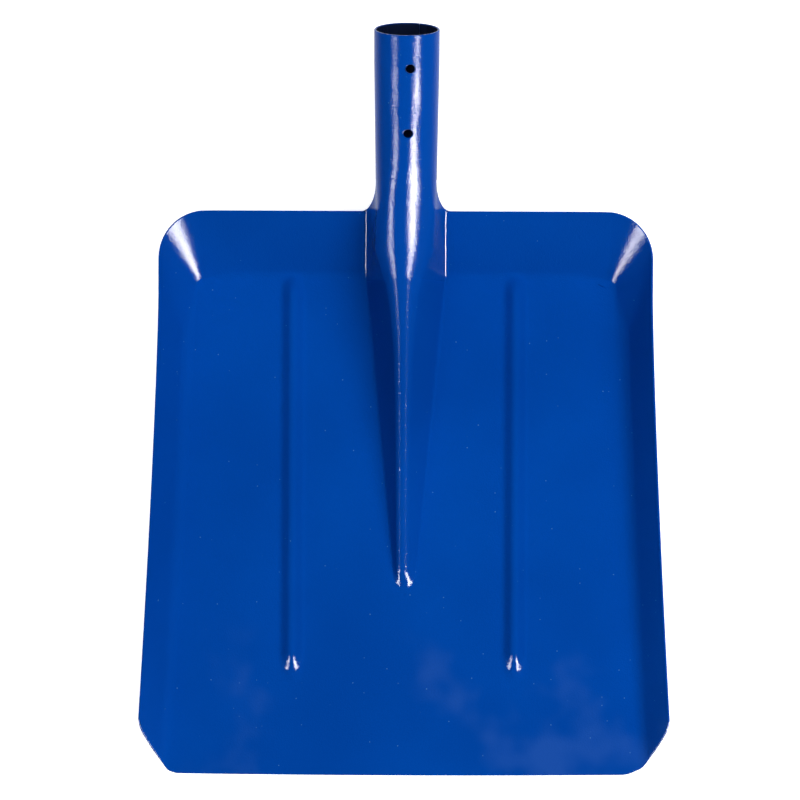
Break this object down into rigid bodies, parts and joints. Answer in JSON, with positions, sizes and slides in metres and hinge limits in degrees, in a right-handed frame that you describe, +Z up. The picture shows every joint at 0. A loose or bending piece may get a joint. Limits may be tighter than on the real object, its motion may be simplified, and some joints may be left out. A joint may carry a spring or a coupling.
{
  "type": "grain scoop shovel head",
  "caption": "Pressed steel grain scoop head: wide flat pan with raised side and back walls, straight ribs, a tapering central frog and a tilted tubular handle socket.",
  "frame": {"origin": "on the surface that the pan lies on, under the middle of the whole head's length and width", "axes": "+Y from the front edge towards the handle socket, +Z up out of the open side of the pan, +X to the right of someone who holds the handle and looks at the open side from above"},
  "size_m": [0.3578, 0.4999, 0.1089],
  "materials": {
    "blue_powder_coat": "glossy powder coat with a fine orange peel",
    "coated_weld": "the same gloss coat over a rippled weld bead"
  },
  "bodies": {
    "root": {"blade": "blue_powder_coat", "socket": "blue_powder_coat", "root_weld_left": "coated_weld", "root_weld_right": "coated_weld", "frog_weld": "coated_weld", "seam_weld": "coated_weld"}
  },
  "joints": []
}
